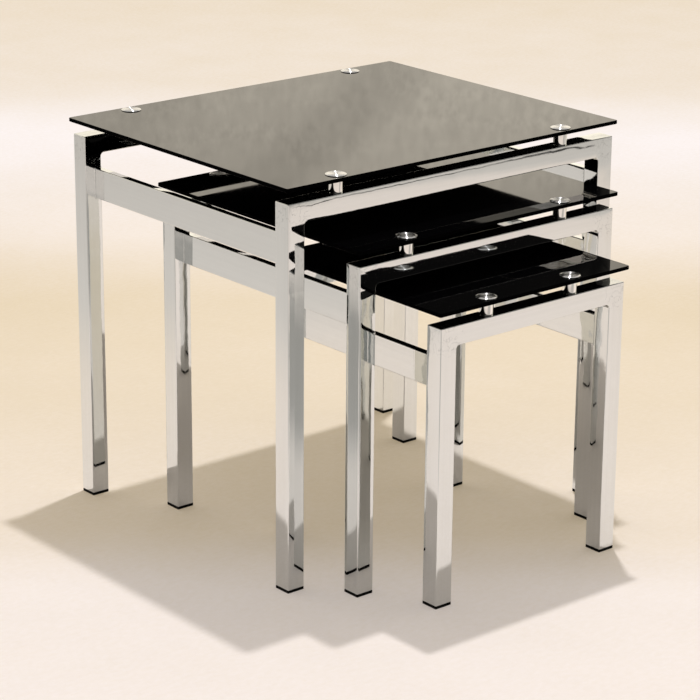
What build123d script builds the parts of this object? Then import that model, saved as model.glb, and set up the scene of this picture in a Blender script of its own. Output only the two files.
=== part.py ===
from build123d import *
import os
from dataclasses import dataclass

# A nest of three tables. X runs along the front frames, the tables pull out towards -Y, Z is up and the
# floor is at Z = 0. The origin is under the middle of the whole nest. All sizes are in millimetres.

# Outside sizes of the welded frames: width along X, depth along Y, height to the top of the beams
LARGE_WIDTH = 540.0
LARGE_DEPTH = 444.0
LARGE_HEIGHT = 497.0
MEDIUM_WIDTH = 423.0
MEDIUM_DEPTH = 394.0
MEDIUM_HEIGHT = 424.0
SMALL_WIDTH = 306.0
SMALL_DEPTH = 312.0
SMALL_HEIGHT = 359.0

# How far each front frame stands ahead of the next larger one, and how far the small table stands aside
MEDIUM_PULLED_OUT = 62.5
SMALL_PULLED_OUT = 87.5
SMALL_SIDE_SHIFT = -7.0

# Square tube of the legs and beams
TUBE_SIDE = 25.0
TUBE_WALL = 1.5
TUBE_EDGE_RADIUS = 1.6
WELD_RADIUS = 3.0

# Flat tube of the side rails, flush with the legs' inner faces
RAIL_HEIGHT = 40.0
RAIL_THICKNESS = 10.0
RAIL_WALL = 1.2
RAIL_EDGE_RADIUS = 1.0
RAIL_DROP = 19.0

# Plastic plugs in the lower ends of the legs
FOOT_FLANGE = 3.5
FOOT_CORNER_CHAMFER = 1.0
FOOT_EDGE_CHAMFER = 0.5
PLUG_LENGTH = 16.0
PLUG_WALL = 2.0
PLUG_LEAD_IN = 1.0
PLUG_CLEARANCE = 0.1

# Glass tops
GLASS_THICKNESS = 5.0
GLASS_SIDE_OVERHANG = 5.0
GLASS_END_OVERHANG = 4.0
GLASS_CORNER_RADIUS = 3.0
GLASS_ARRIS = 0.6
GLASS_HOLE = 11.0

# Clamped fixings of the glass: FIXING_INSET is from the frame's side to the axis of the stud
FIXING_INSET = 83.0
CAP_DIAMETER = 26.0
CAP_THICKNESS = 1.2
CAP_CHAMFER = 0.3
STUD_DIAMETER = 8.0
WASHER_DIAMETER = 22.0
WASHER_THICKNESS = 0.5
BUSH_DIAMETER = 17.0
BUSH_FLANGE = 1.0
SPACER_DIAMETER = 18.0
SPACER_HEIGHT = 15.0
INSERT_SIDE = 16.0
INSERT_HEIGHT = 9.0
FIXING_CLEARANCE = 0.1

BORE_SIDE = TUBE_SIDE - 2 * TUBE_WALL
STUD_HOLE = STUD_DIAMETER + 2 * FIXING_CLEARANCE
GLASS_GAP = SPACER_HEIGHT + BUSH_FLANGE
ON_BASE = (Align.CENTER, Align.CENTER, Align.MIN)
BELOW_BASE = (Align.CENTER, Align.CENTER, Align.MAX)


@dataclass
class Table:
    """Place and outside size of one table's welded frame."""

    name: str
    width: float
    depth: float
    height: float
    centre_x: float
    front: float

    @property
    def left(self):
        return self.centre_x - self.width / 2

    @property
    def right(self):
        return self.centre_x + self.width / 2

    @property
    def rear(self):
        return self.front + self.depth

    @property
    def glass_base(self):
        return self.height + GLASS_GAP

    def fixings(self):
        """Axes of the four fixings, on the centre lines of the beams."""
        for x in (self.left + FIXING_INSET, self.right - FIXING_INSET):
            for y in (self.front + TUBE_SIDE / 2, self.rear - TUBE_SIDE / 2):
                yield x, y


def nest():
    """The three tables, placed so that the nest is centred on the origin along Y."""
    ahead = MEDIUM_PULLED_OUT + SMALL_PULLED_OUT + GLASS_END_OVERHANG
    behind = LARGE_DEPTH + GLASS_END_OVERHANG
    large_front = (ahead - behind) / 2
    medium_front = large_front - MEDIUM_PULLED_OUT
    small_front = medium_front - SMALL_PULLED_OUT
    return (
        Table("large", LARGE_WIDTH, LARGE_DEPTH, LARGE_HEIGHT, 0.0, large_front),
        Table("medium", MEDIUM_WIDTH, MEDIUM_DEPTH, MEDIUM_HEIGHT, 0.0, medium_front),
        Table("small", SMALL_WIDTH, SMALL_DEPTH, SMALL_HEIGHT, SMALL_SIDE_SHIFT, small_front),
    )


def tube_section():
    """Square tube with rounded outer edges, centred on its axis."""
    return RectangleRounded(TUBE_SIDE, TUBE_SIDE, TUBE_EDGE_RADIUS) - Rectangle(BORE_SIDE, BORE_SIDE)


def mitre(table, side):
    """Mitre plane at a top corner: the leg lies below it and the beam above it."""
    if side == "left":
        return Plane(origin=(table.left, 0, table.height), z_dir=(1, 0, 1))
    return Plane(origin=(table.right, 0, table.height), z_dir=(-1, 0, 1))


def leg_axis_x(table, side):
    if side == "left":
        return table.left + TUBE_SIDE / 2
    return table.right - TUBE_SIDE / 2


def leg(table, side, y):
    """Upright tube with its axis at y, open at the foot and mitred at the top."""
    base = Plane(origin=(leg_axis_x(table, side), y, FOOT_FLANGE))
    upright = extrude(base * tube_section(), amount=table.height - FOOT_FLANGE)
    return split(upright, bisect_by=mitre(table, side), keep=Keep.BOTTOM)


def weld_fillet(table, side, y):
    """Ground weld in the inner corner between a leg and the beam's underside."""
    direction = 1 if side == "left" else -1
    inner_face = leg_axis_x(table, side) + direction * TUBE_SIDE / 2
    underside = table.height - TUBE_SIDE
    reach = inner_face + direction * WELD_RADIUS
    flat_width = TUBE_SIDE - 2 * TUBE_EDGE_RADIUS
    corner = (inner_face, underside)
    on_leg = (inner_face, underside - WELD_RADIUS)
    on_beam = (reach, underside)
    across = WELD_RADIUS * (1 - 2 ** -0.5)
    middle = (inner_face + direction * across, underside - across)
    outline = Line(corner, on_leg) + ThreePointArc(on_leg, middle, on_beam) + Line(on_beam, corner)
    section = Plane(origin=(0, y, 0), x_dir=(1, 0, 0), z_dir=(0, -1, 0)) * make_face(outline)
    return extrude(section, amount=flat_width / 2, both=True)


def beam(table, y):
    """Top tube of a frame, mitred at both ends, with holes for the two studs."""
    end = Plane(origin=(table.left, y, table.height - TUBE_SIDE / 2), z_dir=(1, 0, 0))
    top_tube = extrude(end * tube_section(), amount=table.width)
    for side in ("left", "right"):
        top_tube = split(top_tube, bisect_by=mitre(table, side), keep=Keep.TOP)
        top_tube += weld_fillet(table, side, y)
    hole = Cylinder(STUD_HOLE / 2, TUBE_SIDE / 2, align=BELOW_BASE)
    for x in (table.left + FIXING_INSET, table.right - FIXING_INSET):
        top_tube -= Pos(x, y, table.height) * hole
    return top_tube


def rail(table, side):
    """Flat tube between the front and the rear leg."""
    direction = 1 if side == "left" else -1
    inner_face = leg_axis_x(table, side) + direction * TUBE_SIDE / 2
    x = inner_face - direction * RAIL_THICKNESS / 2
    z = table.height - TUBE_SIDE - RAIL_DROP - RAIL_HEIGHT / 2
    section = RectangleRounded(RAIL_THICKNESS, RAIL_HEIGHT, RAIL_EDGE_RADIUS)
    section -= Rectangle(RAIL_THICKNESS - 2 * RAIL_WALL, RAIL_HEIGHT - 2 * RAIL_WALL)
    start = Plane(origin=(x, table.front + TUBE_SIDE, z), x_dir=(-1, 0, 0), z_dir=(0, 1, 0))
    return extrude(start * section, amount=table.depth - 2 * TUBE_SIDE)


def foot(x, y):
    """Plug with a thin square flange: a hollow spigot fills the leg's bore."""
    outline = Rectangle(TUBE_SIDE, TUBE_SIDE)
    flange = extrude(chamfer(outline.vertices(), FOOT_CORNER_CHAMFER), amount=FOOT_FLANGE)
    flange = chamfer(flange.faces().sort_by(Axis.Z)[0].edges(), FOOT_EDGE_CHAMFER)
    spigot_side = BORE_SIDE - 2 * PLUG_CLEARANCE
    spigot = Pos(0, 0, FOOT_FLANGE) * Box(spigot_side, spigot_side, PLUG_LENGTH, align=ON_BASE)
    spigot = chamfer(spigot.faces().sort_by(Axis.Z)[-1].edges(), PLUG_LEAD_IN)
    hollow_side = spigot_side - 2 * PLUG_WALL
    hollow = Pos(0, 0, FOOT_FLANGE) * Box(hollow_side, hollow_side, PLUG_LENGTH, align=ON_BASE)
    return Pos(x, y, 0) * (flange + (spigot - hollow))


def glass_top(table):
    """Flat glass with ground edges and a hole for each fixing."""
    width = table.width + 2 * GLASS_SIDE_OVERHANG
    depth = table.depth + 2 * GLASS_END_OVERHANG
    sheet = extrude(RectangleRounded(width, depth, GLASS_CORNER_RADIUS), amount=GLASS_THICKNESS)
    flats = sheet.faces().filter_by(Axis.Z)
    sheet = chamfer(flats.edges(), GLASS_ARRIS)
    sheet = Pos(table.centre_x, (table.front + table.rear) / 2, table.glass_base) * sheet
    hole = Cylinder(GLASS_HOLE / 2, GLASS_THICKNESS, align=ON_BASE)
    for x, y in table.fixings():
        sheet -= Pos(x, y, table.glass_base) * hole
    return sheet


def ring(diameter, bore, height):
    """Flat ring standing on its base."""
    body = Cylinder(diameter / 2, height, align=ON_BASE)
    return body - Cylinder(bore / 2, height, align=ON_BASE)


def cap():
    """Round cap with its stud; the cap's underside is at Z = 0."""
    disc = Cylinder(CAP_DIAMETER / 2, CAP_THICKNESS, align=ON_BASE)
    disc = chamfer(disc.edges().group_by(Axis.Z)[-1], CAP_CHAMFER)
    below = WASHER_THICKNESS + GLASS_THICKNESS + GLASS_GAP + TUBE_WALL + INSERT_HEIGHT
    return disc + Cylinder(STUD_DIAMETER / 2, below, align=BELOW_BASE)


def washer():
    """Thin washer between cap and glass, standing on the glass."""
    return ring(WASHER_DIAMETER, STUD_HOLE, WASHER_THICKNESS)


def bush():
    """Flange under the glass with a sleeve that lines the hole; the glass's underside is at Z = 0."""
    sleeve = ring(GLASS_HOLE - 2 * FIXING_CLEARANCE, STUD_HOLE, GLASS_THICKNESS)
    return sleeve + Pos(0, 0, -BUSH_FLANGE) * ring(BUSH_DIAMETER, STUD_HOLE, BUSH_FLANGE)


def spacer():
    """Barrel that stands on the beam."""
    return ring(SPACER_DIAMETER, STUD_HOLE, SPACER_HEIGHT)


def insert():
    """Square threaded insert welded under the beam's top wall; the wall's outside is at Z = 0."""
    body = Box(INSERT_SIDE, INSERT_SIDE, INSERT_HEIGHT, align=BELOW_BASE)
    body -= Cylinder(STUD_HOLE / 2, INSERT_HEIGHT, align=BELOW_BASE)
    return Pos(0, 0, -TUBE_WALL) * body


def at_fixings(table, piece, z):
    """One copy of a piece at each of the table's fixings."""
    return Compound([Pos(x, y, z) * piece for x, y in table.fixings()])


def pieces(table):
    """Every node of one table by name."""
    beam_lines = {"front": table.front + TUBE_SIDE / 2, "rear": table.rear - TUBE_SIDE / 2}
    for end, y in beam_lines.items():
        yield f"{end}_beam", beam(table, y)
        for side in ("left", "right"):
            yield f"{end}_{side}_leg", leg(table, side, y)
            yield f"{end}_{side}_foot", foot(leg_axis_x(table, side), y)
    for side in ("left", "right"):
        yield f"{side}_rail", rail(table, side)
    glass_face = table.glass_base + GLASS_THICKNESS
    yield "glass_top", glass_top(table)
    yield "glass_caps", at_fixings(table, cap(), glass_face + WASHER_THICKNESS)
    yield "cap_washers", at_fixings(table, washer(), glass_face)
    yield "glass_bushes", at_fixings(table, bush(), table.glass_base)
    yield "glass_spacers", at_fixings(table, spacer(), table.height)
    yield "thread_inserts", at_fixings(table, insert(), table.height)


os.makedirs("parts", exist_ok=True)
for table in nest():
    for name, shape in pieces(table):
        export_step(shape, f"parts/{table.name}_{name}.step")
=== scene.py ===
"""Nest of three tables: welded chrome frames, black glass tops on stand-off fixings, pale studio."""

import functools
import math

import bmesh
import bpy
from bpy.props import FloatProperty, FloatVectorProperty, IntProperty, PointerProperty
from mathutils import Euler, Matrix, Vector


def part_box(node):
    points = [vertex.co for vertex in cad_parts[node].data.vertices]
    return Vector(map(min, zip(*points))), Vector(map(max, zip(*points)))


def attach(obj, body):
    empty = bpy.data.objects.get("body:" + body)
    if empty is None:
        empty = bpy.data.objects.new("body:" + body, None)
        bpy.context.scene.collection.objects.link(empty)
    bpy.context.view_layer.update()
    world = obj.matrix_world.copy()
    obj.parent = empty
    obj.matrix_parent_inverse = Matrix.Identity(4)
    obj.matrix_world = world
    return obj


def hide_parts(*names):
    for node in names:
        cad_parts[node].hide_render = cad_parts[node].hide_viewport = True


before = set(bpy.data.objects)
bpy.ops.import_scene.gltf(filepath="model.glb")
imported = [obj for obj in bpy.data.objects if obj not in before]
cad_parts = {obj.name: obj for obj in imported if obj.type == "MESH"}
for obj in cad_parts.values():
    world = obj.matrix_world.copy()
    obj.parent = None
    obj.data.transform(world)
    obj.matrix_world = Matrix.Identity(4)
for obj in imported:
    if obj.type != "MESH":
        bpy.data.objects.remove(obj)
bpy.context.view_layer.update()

bl_info = {
    "name": "Nest of Tables",
    "version": (1, 0, 0),
    "blender": (4, 5, 0),
    "location": "3D View > Sidebar > Nest of Tables",
    "description": "Builds three nesting tables of chrome tube with black glass tops",
    "category": "Object",
}

TABLES = ("large", "medium", "small")
ENDS = ("front", "rear")
SIDES = ("left", "right")
MM = 0.001

# Running clearance between pieces that fit into each other
CLEARANCE = 0.1 * MM
# Places nearer than this count as one
TINY = 0.01 * MM
# Merge distances of turned or drilled shapes, and of tubes and feet
SEAM, SLIVER = 0.001 * MM, 0.02 * MM
# Cosine beyond which a face counts as square to an axis
SQUARE = 0.99
CAP_STEPS, BARREL_STEPS, HOLE_STEPS = 64, 48, 32

# Directions over the floor as the camera sees them, left being positive
BACKWARDS = (0.645, 0.764, 0.0)
SIDEWAYS = (-0.764, 0.645, 0.0)
# Camera fitted to the tables' corner points, in metres, radians and millimetres
CAMERA_PLACE = (-2.1326, -2.46644, 1.32294)
CAMERA_DOWN, CAMERA_TURN, CAMERA_ROLL = 0.3258, -0.70141, 0.008
CAMERA_LENS, CAMERA_SENSOR = 135.1, 36.0
KEY_PLACE, KEY_AIM = Vector((0.65, 0.50, 3.91)), Vector((0.0, 0.0, 0.25))
FLOOR_RADIUS, FLOOR_SIDES = 14.0, 96
# Depth behind the tables' middle in metres, with the bright share of the paper there and of its glow: painted
# light and shade in bands across the floor, lighter near the front and towards the back.
PAPER_STOPS = ((-1.0, 0.95, 0.95), (-0.3, 0.9, 0.8), (-0.05, 0.74, 0.05), (0.5, 0.33, 0.0), (0.85, 0.2, 0.0),
               (1.4, 0.72, 0.72), (2.0, 0.95, 0.95), (2.6, 0.6, 0.55), (4.0, 0.35, 0.4))


def span(node):
    """Size of a node along each axis, in metres."""
    low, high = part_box(node)
    return high - low


TUBE = round(span("large_front_left_leg").x, 5)


def length(name, text, default):
    """A length that a user may change, in metres."""
    return FloatProperty(name=name, description=text, default=default, min=0.0, precision=5,
                         subtype="DISTANCE", unit="LENGTH")


def colour(name, text, default):
    """A colour that a user may change."""
    return FloatVectorProperty(name=name, description=text, default=default, size=3, min=0.0, max=1.0,
                               subtype="COLOR")


class FrameSizes(bpy.types.PropertyGroup):
    """Sizes of the welded tube frames."""

    tube_side: length("Tube side", "Outside width of the square tube", TUBE)
    tube_wall: length("Tube wall", "Wall of the square tube at its open lower end", 1.5 * MM)
    tube_mouth: length("Tube mouth", "How far up the open lower end goes", 40 * MM)
    edge_radius: length("Edge radius", "Rounding along the square tube", 1.0 * MM)
    end_radius: length("End radius", "Rounding of the legs' lower ends", 0.8 * MM)
    crown: length("Face crown", "How far buffing leaves the tube faces bulged in the middle", 0.1 * MM)
    weld_radius: length("Weld radius", "Radius of the weld inside the corners", 5 * MM)
    rail_edge: length("Rail edge", "Rounding along the flat side rails", 1.0 * MM)
    bead: length("Weld bead", "How far the bead at a rail's end runs along the rail", 2.0 * MM)
    bead_height: length("Bead height", "How far the bead stands off the rail", 1.1 * MM)
    ground: length("Ground stretch", "How far from a corner the tube was ground after welding", 28 * MM)
    blended: length("Blended stretch", "How far from a corner the grinding fades out", 110 * MM)
    rail_blended: length("Rail blended", "How far from a rail's end the grinding fades out", 40 * MM)


class FittingSizes(bpy.types.PropertyGroup):
    """Sizes of the glass tops, their fixings and the feet."""

    glass_corner: length("Glass corner", "Radius of the glass corners in plan", 3 * MM)
    glass_arris: length("Glass arris", "Ground chamfer along the glass edges", 0.6 * MM)
    glass_hole: length("Glass hole", "Diameter of the drilled holes", 11 * MM)
    cap_diameter: length("Cap diameter", "Diameter of the spun caps", 26 * MM)
    stud_diameter: length("Stud diameter", "Diameter of the stud under a cap", 8 * MM)
    groove_depth: length("Groove depth", "Depth of the turned rings on a cap", 0.02 * MM)
    grooves: IntProperty(name="Grooves", description="Turned rings on a cap", default=12, min=1, max=40)
    foot_edge: length("Foot edge", "Rounding at the bottom of a foot", 0.2 * MM)


class Finishes(bpy.types.PropertyGroup):
    """Colours of the finishes."""

    chrome: colour("Chrome", "Polished chrome plate", (0.78, 0.80, 0.80))
    glass: colour("Glass", "Black glass", (0.0012, 0.0012, 0.0014))
    barrel: colour("Barrel", "Turned spacer barrels", (0.92, 0.92, 0.90))
    spun: colour("Spun steel", "Turned caps", (0.86, 0.865, 0.88))
    plastic: colour("Plastic", "Moulded feet", (0.001, 0.001, 0.001))
    vinyl: colour("Vinyl", "Clear washers and bushes", (0.80, 0.80, 0.78))
    zinc: colour("Zinc", "Threaded inserts", (0.62, 0.60, 0.54))


class StageSettings(bpy.types.PropertyGroup):
    """Floor, light and camera."""

    paper: colour("Paper", "Floor and backdrop paper", (0.79, 0.69, 0.545))
    # Painted shade tint: the floor's glow turns to this tan colour in the band behind the tables' middle,
    # which tints the shadow there tan
    paper_shade_glow: colour("Deep paper", "Glow of the paper in the shade", (0.74, 0.585, 0.34))
    # Painted light: the colour of the floor's brightest painted bands; the backdrop seen directly takes this
    # colour too
    paper_bright: colour("Bright paper", "Brighter stretches of the paper", (1.0, 0.925, 0.90))
    bare_floor: colour("Bare floor", "Studio floor around the paper", (0.77, 0.74, 0.72))
    backdrop: colour("Backdrop", "Light from the lit backdrop behind the tables", (1.0, 0.91, 0.76))
    room: colour("Room", "Light from the dim room behind the camera", (0.012, 0.011, 0.01))
    ceiling: colour("Ceiling", "Light bounced from the ceiling", (0.55, 0.525, 0.49))
    key_power: FloatProperty(name="Key power", description="Lamp overhead", default=87.0, min=0.0,
                             subtype="POWER", unit="POWER")
    key_colour: colour("Key colour", "Colour of the lamp overhead", (1.0, 0.98, 0.96))
    key_size: length("Key size", "Diameter of the lamp overhead", 0.13)


# Shader helpers


def made_once(build):
    """Let a finish be built once and reused by its name."""
    @functools.wraps(build)
    def finish(name, *details):
        return bpy.data.materials.get(name) or build(name, *details)
    return finish


def tint(base, share, lift=0.0):
    """A colour dimmed to a share of itself and lifted."""
    return [share * c + lift for c in base]


def new_material(name):
    """An empty node material with its surface shader and output."""
    material = bpy.data.materials.new(name)
    material.use_nodes = True
    nodes = material.node_tree.nodes
    return material, nodes, material.node_tree.links, nodes["Principled BSDF"]


def texture_place(nodes, links, scale):
    """Object coordinates, scaled along each axis."""
    where = nodes.new("ShaderNodeTexCoord")
    mapping = nodes.new("ShaderNodeMapping")
    mapping.inputs["Scale"].default_value = scale
    links.new(where.outputs["Object"], mapping.inputs["Vector"])
    return mapping.outputs["Vector"]


def new_group(name, inputs, outputs):
    """An empty shader node group with named sockets."""
    group = bpy.data.node_groups.new(name, "ShaderNodeTree")
    for socket, kind, default in inputs:
        made = group.interface.new_socket(socket, in_out="INPUT", socket_type=kind)
        if default is not None:
            made.default_value = default
    for socket, kind in outputs:
        group.interface.new_socket(socket, in_out="OUTPUT", socket_type=kind)
    start = group.nodes.new("NodeGroupInput")
    end = group.nodes.new("NodeGroupOutput")
    return group, start.outputs, end.inputs


def place_group(nodes, group, **values):
    """Put a node group in a material with its own values."""
    node = nodes.new("ShaderNodeGroup")
    node.node_tree = group
    for key, value in values.items():
        node.inputs[key].default_value = value
    return node


def noise(nodes, links, vector, scale, detail=3.0, rough=0.5):
    """Noise texture read at a vector."""
    node = nodes.new("ShaderNodeTexNoise")
    node.inputs["Scale"].default_value = scale
    node.inputs["Detail"].default_value = detail
    node.inputs["Roughness"].default_value = rough
    links.new(vector, node.inputs["Vector"])
    return node.outputs["Fac"]


def to_range(nodes, links, value, low, high, new_low=0.0, new_high=1.0):
    """Map a value smoothly from one range to another."""
    node = nodes.new("ShaderNodeMapRange")
    node.interpolation_type = "SMOOTHSTEP"
    for key, number in (("From Min", low), ("From Max", high), ("To Min", new_low), ("To Max", new_high)):
        node.inputs[key].default_value = number
    links.new(value, node.inputs["Value"])
    return node.outputs["Result"]


def maths(nodes, links, kind, first, second=None, third=None):
    """One arithmetic node; each side is a socket or a number."""
    node = nodes.new("ShaderNodeMath")
    node.operation = kind
    for i, side in enumerate((first, second, third)):
        if isinstance(side, bpy.types.NodeSocket):
            links.new(side, node.inputs[i])
        elif side is not None:
            node.inputs[i].default_value = side
    return node.outputs["Value"]


def dot(nodes, links, vector, direction):
    """How far a vector goes along a direction."""
    node = nodes.new("ShaderNodeVectorMath")
    node.operation = "DOT_PRODUCT"
    node.inputs[1].default_value = direction
    links.new(vector, node.inputs[0])
    return node.outputs["Value"]


def mix_colour(nodes, links, factor, first, second):
    """Blend two colours by a factor."""
    node = nodes.new("ShaderNodeMix")
    node.data_type = "RGBA"
    links.new(factor, node.inputs["Factor"])
    for key, side in (("A", first), ("B", second)):
        socket = next(s for s in node.inputs if s.name == key and s.type == "RGBA")
        if isinstance(side, bpy.types.NodeSocket):
            links.new(side, socket)
        else:
            socket.default_value = (*side, 1.0)
    return next(s for s in node.outputs if s.type == "RGBA")


def add_bump(nodes, links, height, shader, distance, strength=1.0):
    """Bump a surface by a height."""
    node = nodes.new("ShaderNodeBump")
    node.inputs["Strength"].default_value = strength
    node.inputs["Distance"].default_value = distance
    links.new(height, node.inputs["Height"])
    links.new(node.outputs["Normal"], shader.inputs["Normal"])


def polish_group():
    """Polishing lines and streaks that run along a tube, broad waves in the plate, swirls of a grinder, and
    thin dark lines painted as the rippled reflections of ground patches.
    """
    if "polish" in bpy.data.node_groups:
        return bpy.data.node_groups["polish"]
    group, source, result = new_group(
        "polish",
        [("Lines", "NodeSocketVector", None), ("Place", "NodeSocketVector", None),
         ("Swirls", "NodeSocketVector", None), ("Wave Scale", "NodeSocketFloat", 12.0)],
        [("Line", "NodeSocketFloat"), ("Streak", "NodeSocketFloat"), ("Wave", "NodeSocketFloat"),
         ("Swirl", "NodeSocketFloat"), ("Painted Ripple", "NodeSocketFloat"), ("Haze", "NodeSocketFloat")])
    nodes, links = group.nodes, group.links
    links.new(noise(nodes, links, source["Lines"], 1.0, 4.0, 0.6), result["Line"])
    streak = noise(nodes, links, source["Lines"], 0.25, 3.0, 0.6)
    links.new(to_range(nodes, links, streak, 0.3, 0.7), result["Streak"])
    links.new(noise(nodes, links, source["Swirls"], 1.0, 1.0, 0.4), result["Swirl"])
    wave = nodes.new("ShaderNodeTexNoise")
    wave.inputs["Detail"].default_value = 3.0
    links.new(source["Place"], wave.inputs["Vector"])
    links.new(source["Wave Scale"], wave.inputs["Scale"])
    links.new(wave.outputs["Fac"], result["Wave"])
    # Painted reflection: thin dark contour lines that stand for the rippled reflections of ground patches
    painted_ripple = maths(nodes, links, "SUBTRACT", noise(nodes, links, source["Place"], 95.0, 2.0, 0.5), 0.5)
    painted_ripple = maths(nodes, links, "ABSOLUTE", painted_ripple)
    links.new(to_range(nodes, links, painted_ripple, 0.018, 0.004), result["Painted Ripple"])
    haze = noise(nodes, links, source["Place"], 22.0, 4.0, 0.65)
    links.new(to_range(nodes, links, haze, 0.45, 0.75), result["Haze"])
    return group


def touch_group():
    """Faint marks of handling: wiped smears and a few specks of dust."""
    if "touch" in bpy.data.node_groups:
        return bpy.data.node_groups["touch"]
    group, source, result = new_group(
        "touch", [("Place", "NodeSocketVector", None)],
        [("Smear", "NodeSocketFloat"), ("Dust", "NodeSocketFloat")])
    nodes, links = group.nodes, group.links
    broad = noise(nodes, links, source["Place"], 7.0, 5.0, 0.6)
    links.new(to_range(nodes, links, broad, 0.4, 0.72), result["Smear"])
    specks = nodes.new("ShaderNodeTexVoronoi")
    specks.inputs["Scale"].default_value = 240.0
    links.new(source["Place"], specks.inputs["Vector"])
    near = to_range(nodes, links, specks.outputs["Distance"], 0.05, 0.14, 1.0, 0.0)
    thin = noise(nodes, links, source["Place"], 31.0, 2.0)
    few = to_range(nodes, links, thin, 0.56, 0.7)
    links.new(maths(nodes, links, "MULTIPLY", near, few), result["Dust"])
    return group


@made_once
def chrome_finish(name, along, base):
    """Mirror chrome on ground tube; the polishing lines run along one axis."""
    material, nodes, links, shader = new_material(name)
    polish = place_group(nodes, polish_group())
    for socket, across, lengthwise in (("Lines", 900.0, 5.0), ("Swirls", 24.0, 16.0), ("Place", 1, 1)):
        scale = [across] * 3
        scale["xyz".index(along)] = lengthwise
        links.new(texture_place(nodes, links, scale), polish.inputs[socket])
    shader.inputs["Metallic"].default_value = 1.0
    streaked = mix_colour(nodes, links, polish.outputs["Streak"], base, tint(base, 0.97))
    lines = to_range(nodes, links, polish.outputs["Line"], 0.3, 0.75, 0.012, 0.048)
    links.new(maths(nodes, links, "MULTIPLY_ADD", polish.outputs["Haze"], 0.022, lines),
              shader.inputs["Roughness"])
    ground = nodes.new("ShaderNodeAttribute")
    ground.attribute_name = "ground"
    swirl = maths(nodes, links, "MULTIPLY", polish.outputs["Swirl"], ground.outputs["Fac"])
    # Painted reflection: near the welds thin dark lines are painted into the colour, standing for the rippled
    # reflections of the ground patches
    painted_ripples = to_range(nodes, links, ground.outputs["Fac"], 0.85, 1.0, 0.0, 0.35)
    painted_ripples = maths(nodes, links, "MULTIPLY", painted_ripples, polish.outputs["Painted Ripple"])
    links.new(mix_colour(nodes, links, painted_ripples, streaked, tint(base, 0.4)), shader.inputs["Base Color"])
    height = maths(nodes, links, "MULTIPLY_ADD", polish.outputs["Line"], 0.002, polish.outputs["Wave"])
    add_bump(nodes, links, maths(nodes, links, "MULTIPLY_ADD", swirl, 4.0, height), shader, 0.25 * MM)
    return material


@made_once
def glass_finish(name, base, rough, ior):
    """Black glass with wiped smears and a little dust."""
    material, nodes, links, shader = new_material(name)
    touch = place_group(nodes, touch_group())
    links.new(texture_place(nodes, links, (1, 1, 1)), touch.inputs["Place"])
    dusty = tint(base, 1.0, 0.012)
    links.new(mix_colour(nodes, links, touch.outputs["Dust"], base, dusty), shader.inputs["Base Color"])
    links.new(maths(nodes, links, "MULTIPLY_ADD", touch.outputs["Smear"], 0.03, rough),
              shader.inputs["Roughness"])
    shader.inputs["IOR"].default_value = ior
    return material


@made_once
def spun_finish(name, base):
    """Turned metal: fine rings round the middle of each cap."""
    material, nodes, links, shader = new_material(name)
    turn = nodes.new("ShaderNodeUVMap")
    turn.uv_map = "turned"
    mapping = nodes.new("ShaderNodeMapping")
    mapping.inputs["Scale"].default_value = (2.0, 160.0, 1.0)
    links.new(turn.outputs["UV"], mapping.inputs["Vector"])
    rings = noise(nodes, links, mapping.outputs["Vector"], 1.0, 3.0, 0.6)
    links.new(mix_colour(nodes, links, rings, base, tint(base, 0.8)), shader.inputs["Base Color"])
    across = nodes.new("ShaderNodeSeparateXYZ")
    links.new(turn.outputs["UV"], across.inputs["Vector"])
    finer = to_range(nodes, links, across.outputs["Y"], 0.0, 1.1, 1.2, 0.65)
    links.new(maths(nodes, links, "MULTIPLY", to_range(nodes, links, rings, 0.3, 0.7, 0.21, 0.29), finer),
              shader.inputs["Roughness"])
    shader.inputs["Metallic"].default_value = 1.0
    shader.inputs["Anisotropic"].default_value = 1.0
    shader.inputs["Anisotropic Rotation"].default_value = 0.25
    tangent = nodes.new("ShaderNodeTangent")
    tangent.direction_type = "UV_MAP"
    tangent.uv_map = "turned"
    links.new(tangent.outputs["Tangent"], shader.inputs["Tangent"])
    add_bump(nodes, links, rings, shader, 0.01 * MM, 0.6)
    return material


@made_once
def moulded_finish(name, base):
    """Satin moulded plastic with a fine spark grain."""
    material, nodes, links, shader = new_material(name)
    place = texture_place(nodes, links, (1, 1, 1))
    grain = noise(nodes, links, place, 1800.0, 2.0)
    scuff = to_range(nodes, links, noise(nodes, links, place, 90.0, 4.0), 0.45, 0.7)
    worn = tint(base, 1.0, 0.003)
    links.new(mix_colour(nodes, links, scuff, base, worn), shader.inputs["Base Color"])
    links.new(to_range(nodes, links, grain, 0.3, 0.7, 0.38, 0.55), shader.inputs["Roughness"])
    shader.inputs["Specular IOR Level"].default_value = 0.08
    add_bump(nodes, links, grain, shader, 0.03 * MM)
    return material


@made_once
def vinyl_finish(name, base):
    """Soft clear vinyl, a little cloudy."""
    material, nodes, links, shader = new_material(name)
    cloud = noise(nodes, links, texture_place(nodes, links, (1, 1, 1)), 260.0, 3.0)
    links.new(mix_colour(nodes, links, cloud, base, tint(base, 0.9)), shader.inputs["Base Color"])
    links.new(to_range(nodes, links, cloud, 0.3, 0.7, 0.12, 0.26), shader.inputs["Roughness"])
    shader.inputs["IOR"].default_value = 1.49
    shader.inputs["Transmission Weight"].default_value = 0.9
    return material


@made_once
def zinc_finish(name, base):
    """Zinc-plated turned steel with a soft spangle."""
    material, nodes, links, shader = new_material(name)
    spangle = noise(nodes, links, texture_place(nodes, links, (1, 1, 1)), 420.0, 3.0)
    links.new(mix_colour(nodes, links, spangle, base, tint(base, 0.8)), shader.inputs["Base Color"])
    links.new(to_range(nodes, links, spangle, 0.3, 0.7, 0.28, 0.45), shader.inputs["Roughness"])
    shader.inputs["Metallic"].default_value = 1.0
    return material


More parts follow.
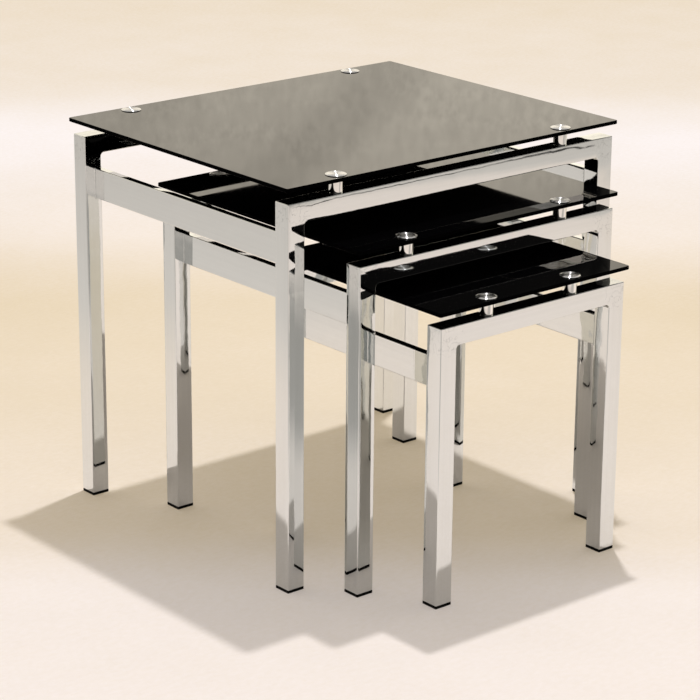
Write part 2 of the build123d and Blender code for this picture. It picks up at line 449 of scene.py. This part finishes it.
def paper_shares(nodes, links, depth):
    """Bright shares of the paper and of its glow at a depth: painted bands of light and shade across the
    floor.
    """
    nearest, farthest = PAPER_STOPS[0][0], PAPER_STOPS[-1][0]
    along = to_range(nodes, links, depth, nearest, farthest)
    along.node.interpolation_type = "LINEAR"
    ramp = nodes.new("ShaderNodeValToRGB")
    ramp.color_ramp.interpolation = "EASE"
    stops = ramp.color_ramp.elements
    for metres, lit, glow in PAPER_STOPS[1:-1]:
        stops.new((metres - nearest) / (farthest - nearest))
    for stop, (metres, lit, glow) in zip(stops, PAPER_STOPS):
        stop.color = (lit, glow, 0.0, 1.0)
    links.new(along, ramp.inputs["Fac"])
    shares = nodes.new("ShaderNodeSeparateColor")
    links.new(ramp.outputs["Color"], shares.inputs["Color"])
    return shares.outputs["Red"], shares.outputs["Green"]


def paper_mottle(nodes, links, place, fibre):
    """Lighter and darker patches and fibres, as a share to add."""
    broad = noise(nodes, links, place, 5.0, 6.0, 0.65)
    mottle = maths(nodes, links, "MULTIPLY_ADD", broad, 0.7, maths(nodes, links, "MULTIPLY", fibre, 1.3))
    return maths(nodes, links, "MULTIPLY", maths(nodes, links, "SUBTRACT", mottle, 1.0), 0.35)


def mirrored_floor(nodes, links, tone, bare, place, unseen):
    """The floor that mirrors show: bare past the paper's edges, painted dimmer in front as if less lit, and a
    painted dark shadow line in front on the right.
    """
    depth, sideways = dot(nodes, links, place, BACKWARDS), dot(nodes, links, place, SIDEWAYS)
    beside = maths(nodes, links, "MAXIMUM", to_range(nodes, links, sideways, 0.75, 1.3),
                   to_range(nodes, links, sideways, -1.8, -2.05))
    # Painted shade: mirrors see the floor in front dimmed, as if it lay outside the light
    before = maths(nodes, links, "MULTIPLY", to_range(nodes, links, depth, -0.6, -0.85),
                   to_range(nodes, links, depth, -1.5, -1.2))
    # Painted shadow: a thin dark line along the paper's edge in front on the right, seen only in mirrors
    split = nodes.new("ShaderNodeSeparateXYZ")
    links.new(place, split.inputs["Vector"])
    off = maths(nodes, links, "ABSOLUTE", maths(nodes, links, "ADD", split.outputs["Y"], 1.68))
    wide = to_range(nodes, links, split.outputs["X"], 1.5, 1.66, 0.022, 0.06)
    painted_shadow_line = to_range(nodes, links, maths(nodes, links, "SUBTRACT", wide, off), 0.0, 0.012)
    for limits in ((0.9, 1.0), (1.72, 1.69)):
        painted_shadow_line = maths(nodes, links, "MULTIPLY", painted_shadow_line, to_range(nodes, links, split.outputs["X"], *limits))
    for share, there in ((beside, bare), (before, tint(bare, 0.72)), (painted_shadow_line, tint(bare, 0.03))):
        tone = mix_colour(nodes, links, maths(nodes, links, "MULTIPLY", share, unseen), tone, there)
    return tone


def paper_finish(paper, deep, bright, bare):
    """Cream backdrop paper with soft fibres, painted brighter near the front and towards the back as if lit
    more there, with a glow painted tan in the shade.
    """
    material, nodes, links, shader = new_material("backdrop_paper")
    place = texture_place(nodes, links, (1, 1, 1))
    depth, sideways = dot(nodes, links, place, BACKWARDS), dot(nodes, links, place, SIDEWAYS)
    fibre = noise(nodes, links, texture_place(nodes, links, (90, 150, 1)), 1.0, 5.0, 0.75)
    mottle = paper_mottle(nodes, links, place, fibre)
    lit, glow = paper_shares(nodes, links, depth)
    # Painted light: the glow grows brighter towards the sides, far from the tables
    beyond = to_range(nodes, links, maths(nodes, links, "ABSOLUTE", sideways), 1.2, 1.8, 0.0, 0.7)
    glow = maths(nodes, links, "ADD", beyond, glow)
    tones = []
    # The first tone is the lit paper, painted lighter or darker by depth; the second is the glow seen
    # directly, painted tan in the shade band by the deep colour
    for share, dark in ((lit, paper), (glow, deep)):
        share = maths(nodes, links, "ADD", share, mottle)
        share.node.use_clamp = True
        tones.append(mix_colour(nodes, links, share, dark, bright))
    path = nodes.new("ShaderNodeLightPath").outputs
    seen = maths(nodes, links, "MAXIMUM", path["Is Camera Ray"], path["Is Transmission Ray"])
    unseen = maths(nodes, links, "SUBTRACT", 1.0, seen)
    links.new(mirrored_floor(nodes, links, tones[0], bare, place, unseen), shader.inputs["Base Color"])
    shader.inputs["Roughness"].default_value = 0.9
    shader.inputs["Specular IOR Level"].default_value = 0.05
    crumple = noise(nodes, links, place, 9.0, 3.0, 0.55)
    add_bump(nodes, links, maths(nodes, links, "MULTIPLY_ADD", crumple, 9.0, fibre), shader, 0.35 * MM)

    away = nodes.new("ShaderNodeVectorMath")
    away.operation = "LENGTH"
    links.new(place, away.inputs[0])
    far = to_range(nodes, links, away.outputs["Value"], 0.8, 2.2, 0.30, 1.0)
    shown = maths(nodes, links, "MULTIPLY", far, seen)
    # Painted light: near the front the mirrors see a little of the glow too, which lightens the shade they
    # mirror
    near = to_range(nodes, links, depth, -0.08, -0.25, 0.0, 0.08)
    near = maths(nodes, links, "MULTIPLY", near, to_range(nodes, links, away.outputs["Value"], 1.0, 0.7))
    painted_mirror_glow = maths(nodes, links, "MULTIPLY", near, path["Is Glossy Ray"])
    glowing = nodes.new("ShaderNodeEmission")
    links.new(tones[1], glowing.inputs["Color"])
    blend = nodes.new("ShaderNodeMixShader")
    links.new(maths(nodes, links, "MAXIMUM", shown, painted_mirror_glow), blend.inputs["Fac"])
    links.new(shader.outputs["BSDF"], blend.inputs[1])
    links.new(glowing.outputs["Emission"], blend.inputs[2])
    links.new(blend.outputs["Shader"], nodes["Material Output"].inputs["Surface"])
    return material


def light_pool(nodes, links, value, steps, gain):
    """A factor that rises from one to the gain and falls back over four steps of the value."""
    rise = to_range(nodes, links, value, steps[0], steps[1], 1.0, gain)
    fall = to_range(nodes, links, value, steps[3], steps[2], 1.0, gain)
    return maths(nodes, links, "MINIMUM", rise, fall)


def room_light(world, settings):
    """Room light: a lit backdrop behind the tables, a dim room in front, light bounced from above."""
    world.use_nodes = True
    nodes, links = world.node_tree.nodes, world.node_tree.links
    where = nodes.new("ShaderNodeTexCoord").outputs["Generated"]
    behind = to_range(nodes, links, dot(nodes, links, where, BACKWARDS), -0.1, 0.35)
    above = to_range(nodes, links, dot(nodes, links, where, (0.0, 0.0, 1.0)), 0.35, 0.75)
    around = mix_colour(nodes, links, behind, settings.room, settings.backdrop)
    light = mix_colour(nodes, links, above, around, settings.ceiling)
    cloud = to_range(nodes, links, noise(nodes, links, where, 260.0, 4.0, 0.75), 0.3, 0.7, 0.92, 1.14)
    # Two leaning bands of brighter light behind the tables, which the glass mirrors
    aside = dot(nodes, links, where, (SIDEWAYS[0], SIDEWAYS[1], -1.1))
    right = light_pool(nodes, links, aside, (-0.259, -0.283, -0.33, -0.4), 1.25)
    left = light_pool(nodes, links, aside, (-0.248, -0.233, -0.205, -0.179), 1.14)
    cloud = maths(nodes, links, "MULTIPLY", cloud, maths(nodes, links, "MAXIMUM", left, right))
    patchy = nodes.new("ShaderNodeVectorMath")
    patchy.operation = "SCALE"
    links.new(light, patchy.inputs[0])
    links.new(cloud, patchy.inputs["Scale"])
    seen = nodes.new("ShaderNodeLightPath").outputs["Is Camera Ray"]
    shown = mix_colour(nodes, links, seen, patchy.outputs["Vector"], settings.paper_bright)
    links.new(shown, nodes["Background"].inputs["Color"])


# Modelling helpers


def finish_piece(bm, name, body, materials, nodes, sharp=40.0):
    """Turn a finished bmesh into a smooth-shaded piece that stands for its nodes and rides on a body."""
    for edge in bm.edges:
        if len(edge.link_faces) == 2:
            edge.smooth = edge.calc_face_angle() < math.radians(sharp)
    for face in bm.faces:
        face.smooth = True
    mesh = bpy.data.meshes.new(name)
    bm.to_mesh(mesh)
    bm.free()
    for material in materials:
        mesh.materials.append(material)
    piece = bpy.data.objects.new(name, mesh)
    bpy.context.scene.collection.objects.link(piece)
    flat = piece.modifiers.new("flat_faces", "WEIGHTED_NORMAL")
    flat.keep_sharp = True
    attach(piece, body)
    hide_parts(*nodes)
    return piece


def cut_across(bm, place, normal):
    """Add a loop of edges where a plane crosses the shape."""
    bmesh.ops.bisect_plane(bm, geom=[*bm.verts, *bm.edges, *bm.faces], plane_co=place, plane_no=normal)


def mark_ground(bm, distance, full, none):
    """Note at each vertex how much the tube was ground there, by its distance from the weld."""
    layer = bm.verts.layers.float.new("ground")
    for vert in bm.verts:
        share = (none - distance(vert.co)) / (none - full)
        vert[layer] = min(max(share, 0.0), 1.0)


def verts_of(geometry):
    """The vertices among an operator's results."""
    return [g for g in geometry if isinstance(g, bmesh.types.BMVert)]


def block(bm, low, high):
    """A plain block between two corners, as a start for a shape."""
    middle, size = (low + high) / 2, high - low
    bmesh.ops.create_cube(bm, size=1.0, matrix=Matrix.Translation(middle) @ Matrix.Diagonal((*size, 1.0)))


def round_edges(bm, edges, radius, segments):
    """Round edges with a true arc."""
    bmesh.ops.bevel(bm, geom=edges, offset=radius, offset_type="OFFSET", segments=segments, profile=0.5,
                    affect="EDGES", material=-1, clamp_overlap=True)


def runs_along(edge, axis):
    """Whether an edge is parallel to an axis."""
    step = edge.verts[1].co - edge.verts[0].co
    return abs(step[axis]) > 0.999 * step.length


def push_in(bm, faces, wall, depth):
    """Leave a wall round each face and push the rest along a depth."""
    bmesh.ops.inset_individual(bm, faces=faces, thickness=wall)
    for face in faces:
        grown = bmesh.ops.extrude_discrete_faces(bm, faces=[face])["faces"]
        bmesh.ops.translate(bm, vec=depth, verts=[v for f in grown for v in f.verts])


def turned(bm, outline, centre, steps):
    """Spin an outline of radius and height round an upright axis."""
    start = [bm.verts.new((centre.x + radius, centre.y, height)) for radius, height in outline]
    edges = [bm.edges.new(pair) for pair in zip(start, start[1:])]
    bmesh.ops.spin(bm, geom=start + edges, cent=(centre.x, centre.y, 0), axis=(0, 0, 1), dvec=(0, 0, 0),
                   angle=math.tau, steps=steps, use_merge=True)


def close_seams(bm):
    """Merge the seams and poles of turned or drilled shapes and face them outwards."""
    bmesh.ops.remove_doubles(bm, verts=bm.verts, dist=SEAM)
    bmesh.ops.recalc_face_normals(bm, faces=bm.faces)


def fixings(table, diameter):
    """Centres of a table's four fixings, from where its caps lie."""
    low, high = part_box(f"{table}_glass_caps")
    inset = Vector((diameter / 2, diameter / 2, 0))
    low, high = low + inset, high - inset
    return [Vector((x, y, 0)) for y in (low.y, high.y) for x in (low.x, high.x)]


def frame_shape(low, high, sizes):
    """The U of two legs and a beam, with rounded edges, weld radii and open lower ends."""
    tube = sizes.tube_side
    bm = bmesh.new()
    outline = [(low.x, low.z), (low.x, high.z), (high.x, high.z), (high.x, low.z),
               (high.x - tube, low.z), (high.x - tube, high.z - tube),
               (low.x + tube, high.z - tube), (low.x + tube, low.z)]
    face = bm.faces.new([bm.verts.new((x, low.y, z)) for x, z in outline])
    grown = bmesh.ops.extrude_face_region(bm, geom=[face])
    bmesh.ops.translate(bm, vec=(0, tube, 0), verts=verts_of(grown["geom"]))
    bmesh.ops.recalc_face_normals(bm, faces=bm.faces)
    inside = [e for e in bm.edges if runs_along(e, 1) and abs(e.verts[0].co.z - high.z + tube) < TINY]
    round_edges(bm, inside, sizes.weld_radius, 5)
    ends = {e for e in bm.edges if all(v.co.z < low.z + TINY for v in e.verts)}
    walls = [f for f in bm.faces if abs(f.normal.y) > SQUARE]
    long_edges = {e for f in walls for e in f.edges} - ends
    corners = {e for e in bm.edges if runs_along(e, 1) and all(v.co.z > high.z - TINY for v in e.verts)}
    round_edges(bm, list(long_edges | corners), sizes.edge_radius, 4)
    mouths = [f for f in bm.faces if f.normal.z < -SQUARE and f.calc_center_median().z < low.z + TINY]
    push_in(bm, mouths, sizes.tube_wall, (0, 0, sizes.tube_mouth))
    inset = 0.5 * sizes.tube_wall

    def outside(at):
        reach, deep = min(at.x - low.x, high.x - at.x), at.y - low.y
        return min(reach, tube - reach, deep, tube - deep) < inset

    rims = [e for e in bm.edges if all(v.co.z < low.z + TINY and outside(v.co) for v in e.verts)]
    round_edges(bm, rims, sizes.end_radius, 3)
    return bm


def frame_lines(bm, low, high, sizes):
    """Add the lines that a frame's crowned and ground faces need, and the mitres at its corners."""
    tube, middle = sizes.tube_side, (low.x + high.x) / 2
    cut_across(bm, (middle, 0, 0), (1, 0, 0))
    for reach in (sizes.ground, (sizes.ground + sizes.blended) / 2, sizes.blended):
        cut_across(bm, (low.x + reach, 0, 0), (1, 0, 0))
        cut_across(bm, (high.x - reach, 0, 0), (1, 0, 0))
        cut_across(bm, (0, 0, high.z - reach), (0, 0, 1))
    for line in (0.25 * tube, 0.5 * tube, 0.75 * tube):
        cut_across(bm, (low.x + line, 0, 0), (1, 0, 0))
        cut_across(bm, (high.x - line, 0, 0), (1, 0, 0))
        cut_across(bm, (0, low.y + line, 0), (0, 1, 0))
        cut_across(bm, (0, 0, high.z - line), (0, 0, 1))
    for corner, lean in ((low.x, 1), (high.x, -1)):
        half = [f for f in bm.faces if (f.calc_center_median().x - middle) * lean < 0]
        edges = {e for f in half for e in f.edges}
        points = {v for e in edges for v in e.verts}
        bmesh.ops.bisect_plane(bm, geom=[*points, *edges, *half], plane_co=(corner, 0, high.z),
                               plane_no=Vector((lean, 0, 1)).normalized())
    bmesh.ops.remove_doubles(bm, verts=bm.verts, dist=SLIVER)


def welded_frame(low, high, sizes):
    """Two legs and a beam of square tube as one welded U, low and high being its outer corners."""
    bm = frame_shape(low, high, sizes)
    frame_lines(bm, low, high, sizes)
    crown_faces(bm, low, high, sizes)

    def reach(at):
        return min(at.x - low.x, high.x - at.x)

    for face in bm.faces:
        at = face.calc_center_median()
        face.material_index = int(reach(at) > high.z - at.z)
    mark_ground(bm, lambda at: max(reach(at), high.z - at.z), sizes.ground, sizes.blended)
    return bm


def crown_faces(bm, low, high, sizes):
    """Bulge the faces of a frame's tubes a little in the middle, except on top and under the beam."""
    half = sizes.tube_side / 2
    flat = half - sizes.edge_radius
    for vert in bm.verts:
        at = vert.co
        reach = min(at.x - low.x, high.x - at.x)
        across, deep = min(reach, high.z - at.z) - half, at.y - low.y - half
        if abs(abs(deep) - half) < TINY and abs(across) < flat:
            at.y += math.copysign(sizes.crown, deep) * (1 - (across / flat) ** 2)
        elif reach < high.z - at.z and abs(abs(across) - half) < TINY and abs(deep) < flat:
            rise = math.copysign(sizes.crown, across) * (1 - (deep / flat) ** 2)
            at.x += rise if at.x - low.x < high.x - at.x else -rise


def side_rail(low, high, sizes, inner):
    """Flat rail between two legs, with a weld bead flaring out at each end; inner is its flush side."""
    bm = bmesh.new()
    bead = Vector((0, sizes.bead, 0))
    block(bm, low + bead, high - bead)
    round_edges(bm, [e for e in bm.edges if runs_along(e, 1)], sizes.rail_edge, 4)
    for reach in (sizes.rail_blended / 2, sizes.rail_blended):
        cut_across(bm, (0, low.y + reach, 0), (0, 1, 0))
        cut_across(bm, (0, high.y - reach, 0), (0, 1, 0))
    size, middle = high - low, (low + high) / 2
    pivot = Matrix.Translation((-inner, 0, -middle.z))
    for lean in (-1, 1):
        face = next(f for f in bm.faces if f.normal.y * lean > SQUARE)
        rise = 0.0
        for share, lift in ((0.35, 0.1), (0.35, 0.35), (0.3, 1.0)):
            grown = bmesh.ops.extrude_face_region(bm, geom=[face])["geom"]
            verts = verts_of(grown)
            bmesh.ops.translate(bm, vec=(0, lean * share * sizes.bead, 0), verts=verts)
            was = Vector((size.x + rise, 1, size.z + 2 * rise))
            rise = lift * sizes.bead_height
            now = Vector((size.x + rise, 1, size.z + 2 * rise))
            bmesh.ops.scale(bm, vec=[n / w for n, w in zip(now, was)], space=pivot, verts=verts)
            if face.is_valid:
                bmesh.ops.delete(bm, geom=[face], context="FACES_ONLY")
            face = next(g for g in grown if isinstance(g, bmesh.types.BMFace))
    bmesh.ops.recalc_face_normals(bm, faces=bm.faces)
    mark_ground(bm, lambda at: min(at.y - low.y, high.y - at.y), 0.0, sizes.rail_blended)
    return bm


def foot_plug(low, high, top, sizes, fittings):
    """Foot with an eased rim, a moulded recess underneath and a tapered plug up into the tube."""
    taper, recess_wall, recess_depth = 0.95, 5 * MM, 0.8 * MM
    bm = bmesh.new()
    block(bm, low, Vector((high.x, high.y, top)))
    round_edges(bm, [e for e in bm.edges if runs_along(e, 2)], sizes.edge_radius, 4)
    under = next(f for f in bm.faces if f.normal.z < -SQUARE)
    over = next(f for f in bm.faces if f.normal.z > SQUARE)
    round_edges(bm, list(under.edges), fittings.foot_edge, 2)
    push_in(bm, [over], sizes.tube_wall + CLEARANCE, (0, 0, high.z - top))
    middle = (low + high) / 2
    tip = [v for v in bm.verts if abs(v.co.z - high.z) < TINY]
    bmesh.ops.scale(bm, vec=(taper, taper, 1), space=Matrix.Translation((-middle.x, -middle.y, 0)), verts=tip)
    under = min(bm.faces, key=lambda f: f.calc_center_median().z)
    push_in(bm, [under], recess_wall, (0, 0, recess_depth))
    bmesh.ops.remove_doubles(bm, verts=bm.verts, dist=SLIVER)
    return bm


def drill(bm, hole, levels, radius):
    """Drill a round hole through the faces that lie round its middle at two levels."""
    rings = []
    for level in levels:
        face = min((f for f in bm.faces if abs(f.normal.z) > SQUARE
                    and abs(f.calc_center_median().z - level) < TINY),
                   key=lambda f: (f.calc_center_median() - hole).xy.length)
        bmesh.ops.bisect_edges(bm, edges=list(face.edges), cuts=HOLE_STEPS // 4 - 1)
        middle = bmesh.ops.poke(bm, faces=[face])["verts"]
        drilled = bmesh.ops.bevel(bm, geom=middle, offset=radius, offset_type="OFFSET", segments=1,
                                  profile=0.5, affect="VERTICES", material=-1)["faces"]
        lid = max(drilled, key=lambda f: len(f.verts))
        rings += list(lid.edges)
        bmesh.ops.delete(bm, geom=[lid], context="FACES_ONLY")
    bmesh.ops.bridge_loops(bm, edges=rings)


def glass_plate(low, high, holes, fittings):
    """Glass with rounded corners, ground edges and drilled holes."""
    bm = bmesh.new()
    block(bm, low, high)
    round_edges(bm, [e for e in bm.edges if runs_along(e, 2)], fittings.glass_corner, 6)
    rims = {e for f in bm.faces if abs(f.normal.z) > SQUARE for e in f.edges}
    round_edges(bm, list(rims), fittings.glass_arris, 1)
    radius, around = fittings.glass_hole / 2, 3 * fittings.glass_hole / 2
    for axis, normal in enumerate((Vector((1, 0, 0)), Vector((0, 1, 0)))):
        for cut in sorted({round(h[axis] + side * around, 6) for h in holes for side in (-1, 1)}):
            cut_across(bm, cut * normal, normal)
    for hole in holes:
        drill(bm, hole, (low.z, high.z), radius)
    close_seams(bm)
    for face in bm.faces:
        face.material_index = 0 if face.normal.z > 0.9 else 1 if face.normal.z > -0.9 else 2
    return bm


def cap_outline(top, low, tip, fittings):
    """Radius and height of a spun cap from its middle to its stud's tip: dished face, rings, rolled rim."""
    rim, stud = fittings.cap_diameter / 2, fittings.stud_diameter / 2
    roll, lip, ease = 2.4 * MM, 0.3 * MM, 0.1 * MM
    hollow, point = 0.10 * MM, 0.6 * MM
    rings = [(0.0, top - hollow)]
    inner, outer = 0.06 * rim, rim - roll
    pitch = (outer - inner) / fittings.grooves
    for i in range(fittings.grooves):
        radius = inner + i * pitch
        dish = -hollow * (1 - (radius / outer) ** 2)
        rings += [(radius, top + dish), (radius + 0.8 * pitch, top + dish),
                  (radius + 0.9 * pitch, top + dish - fittings.groove_depth)]
    fall = top - low - lip
    rolled = [(rim - roll, top), (rim - 0.8 * roll, top - 0.12 * fall), (rim - 0.1 * roll, top - 0.86 * fall),
              (rim, low + lip)]
    under = [(rim, low + ease), (rim - ease, low), (stud, low)]
    return rings + rolled + under + [(stud, tip + point), (stud - point, tip), (0.0, tip)]


def map_turned(bm, centres):
    """UV for turned pieces: round the nearest centre, and out from it."""
    layer = bm.loops.layers.uv.new("turned")
    for face in bm.faces:
        at = face.calc_center_median()
        centre = min(centres, key=lambda c: (c - at).xy.length)
        heading = math.atan2(at.y - centre.y, at.x - centre.x)
        for loop in face.loops:
            out = loop.vert.co - centre
            angle = math.atan2(out.y, out.x) if out.xy.length > TINY else heading
            turn = (angle - heading + math.pi) % math.tau - math.pi + heading
            loop[layer].uv = (turn / math.tau, out.xy.length / (10 * MM) - out.z)


def dress(table, node, material):
    """Give a carried-over node its finish."""
    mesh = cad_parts[f"{table}_{node}"].data
    mesh.materials.clear()
    mesh.materials.append(material)


# Operators


class NEST_OT_frames(bpy.types.Operator):
    """Weld the front and rear frames of the three tables"""

    bl_idname = "nest.frames"
    bl_label = "Welded frames"

    def execute(self, context):
        sizes, finishes = context.scene.nest_frame, context.scene.nest_finish
        chrome = [chrome_finish("chrome_upright", "z", finishes.chrome),
                  chrome_finish("chrome_across", "x", finishes.chrome)]
        for table in TABLES:
            for end in ENDS:
                nodes = [f"{table}_{end}_beam", f"{table}_{end}_left_leg", f"{table}_{end}_right_leg"]
                boxes = [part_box(n) for n in nodes]
                low = Vector(min(b[0][i] for b in boxes) for i in range(3))
                high = Vector(max(b[1][i] for b in boxes) for i in range(3))
                finish_piece(welded_frame(low, high, sizes), f"{table}_{end}_frame", f"{table}_table",
                             chrome, nodes)
        return {"FINISHED"}


class NEST_OT_rails(bpy.types.Operator):
    """Weld the flat side rails in between the legs"""

    bl_idname = "nest.rails"
    bl_label = "Side rails"

    def execute(self, context):
        sizes, finishes = context.scene.nest_frame, context.scene.nest_finish
        chrome = [chrome_finish("chrome_along", "y", finishes.chrome)]
        for table in TABLES:
            for side in SIDES:
                node = f"{table}_{side}_rail"
                low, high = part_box(node)
                inner = high.x if side == "left" else low.x
                finish_piece(side_rail(low, high, sizes, inner), f"{node}_welded", f"{table}_table",
                             chrome, [node])
        return {"FINISHED"}


class NEST_OT_feet(bpy.types.Operator):
    """Push a moulded foot into the lower end of each leg"""

    bl_idname = "nest.feet"
    bl_label = "Feet"

    def execute(self, context):
        scene = context.scene
        plastic = [moulded_finish("moulded_black", scene.nest_finish.plastic)]
        for table in TABLES:
            for end in ENDS:
                for side in SIDES:
                    node = f"{table}_{end}_{side}_foot"
                    low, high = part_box(node)
                    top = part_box(f"{table}_{end}_{side}_leg")[0].z
                    bm = foot_plug(low, high, top, scene.nest_frame, scene.nest_fitting)
                    finish_piece(bm, f"{node}_moulded", f"{table}_table", plastic, [node])
        return {"FINISHED"}


class NEST_OT_glass(bpy.types.Operator):
    """Cut, drill and grind the black glass tops"""

    bl_idname = "nest.glass"
    bl_label = "Glass tops"

    def execute(self, context):
        scene = context.scene
        fittings, base = scene.nest_fitting, scene.nest_finish.glass
        glass = [glass_finish("glass_face", base, 0.015, 1.52), glass_finish("ground_edge", base, 0.25, 1.03),
                 glass_finish("back_paint", base, 0.5, 1.01)]
        for table in TABLES:
            node = f"{table}_glass_top"
            low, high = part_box(node)
            bm = glass_plate(low, high, fixings(table, fittings.cap_diameter), fittings)
            finish_piece(bm, f"{node}_drilled", f"{table}_table", glass, [node], sharp=30.0)
        return {"FINISHED"}


class NEST_OT_caps(bpy.types.Operator):
    """Turn the spun caps that clamp the glass"""

    bl_idname = "nest.caps"
    bl_label = "Spun caps"

    def execute(self, context):
        scene = context.scene
        fittings = scene.nest_fitting
        spun = [spun_finish("spun_rings", scene.nest_finish.spun)]
        for table in TABLES:
            node = f"{table}_glass_caps"
            low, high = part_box(node)
            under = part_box(f"{table}_cap_washers")[1].z
            centres = fixings(table, fittings.cap_diameter)
            bm = bmesh.new()
            for centre in centres:
                turned(bm, cap_outline(high.z, under, low.z, fittings), centre, CAP_STEPS)
            close_seams(bm)
            map_turned(bm, centres)
            finish_piece(bm, f"{node}_spun", f"{table}_table", spun, [node])
        return {"FINISHED"}


class NEST_OT_spacers(bpy.types.Operator):
    """Turn the chrome barrels that hold the glass off the beams"""

    bl_idname = "nest.spacers"
    bl_label = "Spacer barrels"

    def execute(self, context):
        scene = context.scene
        fittings = scene.nest_fitting
        chrome = [chrome_finish("chrome_turned", "x", scene.nest_finish.barrel)]
        for table in TABLES:
            node = f"{table}_glass_spacers"
            low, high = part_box(node)
            centres = fixings(table, fittings.cap_diameter)
            radius = centres[0].x - low.x
            bore = fittings.stud_diameter / 2 + CLEARANCE
            ease = 0.6 * MM
            outline = [(bore, low.z), (radius - ease, low.z), (radius - 0.2 * ease, low.z + 0.2 * ease),
                       (radius, low.z + ease), (radius, high.z - ease),
                       (radius - 0.2 * ease, high.z - 0.2 * ease), (radius - ease, high.z), (bore, high.z),
                       (bore, low.z)]
            bm = bmesh.new()
            for centre in centres:
                turned(bm, outline, centre, BARREL_STEPS)
            close_seams(bm)
            finish_piece(bm, f"{node}_turned", f"{table}_table", chrome, [node])
        return {"FINISHED"}


class NEST_OT_hidden(bpy.types.Operator):
    """Finish the washers, bushes and threaded inserts that hold the glass"""

    bl_idname = "nest.hidden"
    bl_label = "Washers, bushes and inserts"

    def execute(self, context):
        finishes = context.scene.nest_finish
        for table in TABLES:
            for node in ("cap_washers", "glass_bushes"):
                dress(table, node, vinyl_finish("clear_vinyl", finishes.vinyl))
            dress(table, "thread_inserts", zinc_finish("zinc_plate", finishes.zinc))
        return {"FINISHED"}


class NEST_OT_stage(bpy.types.Operator):
    """Lay the pale floor, hang the lights and set up the camera"""

    bl_idname = "nest.stage"
    bl_label = "Stage"

    def execute(self, context):
        scene = context.scene
        settings = scene.nest_stage
        scene.view_settings.view_transform = "Standard"
        bm = bmesh.new()
        bmesh.ops.create_circle(bm, cap_ends=True, segments=FLOOR_SIDES, radius=FLOOR_RADIUS)
        mesh = bpy.data.meshes.new("floor")
        bm.to_mesh(mesh)
        bm.free()
        mesh.materials.append(paper_finish(settings.paper, settings.paper_shade_glow, settings.paper_bright,
                                           settings.bare_floor))
        floor = bpy.data.objects.new("floor", mesh)
        scene.collection.objects.link(floor)

        world = bpy.data.worlds.new("room_light")
        scene.world = world
        room_light(world, settings)

        lamp = bpy.data.lights.new("key", "AREA")
        lamp.shape = "DISK"
        lamp.size = settings.key_size
        lamp.energy = settings.key_power
        lamp.color = settings.key_colour
        key = bpy.data.objects.new("key", lamp)
        key.location = KEY_PLACE
        key.rotation_euler = (KEY_AIM - KEY_PLACE).to_track_quat("-Z", "Y").to_euler()
        scene.collection.objects.link(key)

        lens = bpy.data.cameras.new("camera")
        lens.sensor_width = CAMERA_SENSOR
        lens.lens = CAMERA_LENS
        camera = bpy.data.objects.new("camera", lens)
        turn = Euler((math.pi / 2 - CAMERA_DOWN, 0, CAMERA_TURN)).to_matrix()
        turn = turn @ Matrix.Rotation(CAMERA_ROLL, 3, "Z")
        camera.matrix_world = Matrix.Translation(CAMERA_PLACE) @ turn.to_4x4()
        scene.collection.objects.link(camera)
        scene.camera = camera
        return {"FINISHED"}


STEPS = (NEST_OT_frames, NEST_OT_rails, NEST_OT_feet, NEST_OT_glass, NEST_OT_caps, NEST_OT_spacers,
         NEST_OT_hidden, NEST_OT_stage)
GROUPS = {"nest_frame": FrameSizes, "nest_fitting": FittingSizes, "nest_finish": Finishes,
          "nest_stage": StageSettings}


class NEST_PT_panel(bpy.types.Panel):
    """Builds the nest of tables piece by piece"""

    bl_idname = "NEST_PT_panel"
    bl_label = "Nest of Tables"
    bl_space_type = "VIEW_3D"
    bl_region_type = "UI"
    bl_category = "Nest of Tables"

    def draw(self, context):
        for step in STEPS:
            self.layout.operator(step.bl_idname)
        for group in GROUPS:
            settings = getattr(context.scene, group)
            box = self.layout.box()
            for name in GROUPS[group].__annotations__:
                box.prop(settings, name)


def register():
    """Add the settings, operators and panel."""
    for group, kind in GROUPS.items():
        bpy.utils.register_class(kind)
        setattr(bpy.types.Scene, group, PointerProperty(type=kind))
    for kind in (*STEPS, NEST_PT_panel):
        bpy.utils.register_class(kind)


def unregister():
    """Take the panel, operators and settings away again."""
    for kind in (NEST_PT_panel, *reversed(STEPS)):
        bpy.utils.unregister_class(kind)
    for group, kind in reversed(GROUPS.items()):
        delattr(bpy.types.Scene, group)
        bpy.utils.unregister_class(kind)


def main():
    """Build every piece and the stage."""
    register()
    bpy.ops.nest.frames()
    bpy.ops.nest.rails()
    bpy.ops.nest.feet()
    bpy.ops.nest.glass()
    bpy.ops.nest.caps()
    bpy.ops.nest.spacers()
    bpy.ops.nest.hidden()
    bpy.ops.nest.stage()


if __name__ == "__main__":
    main()
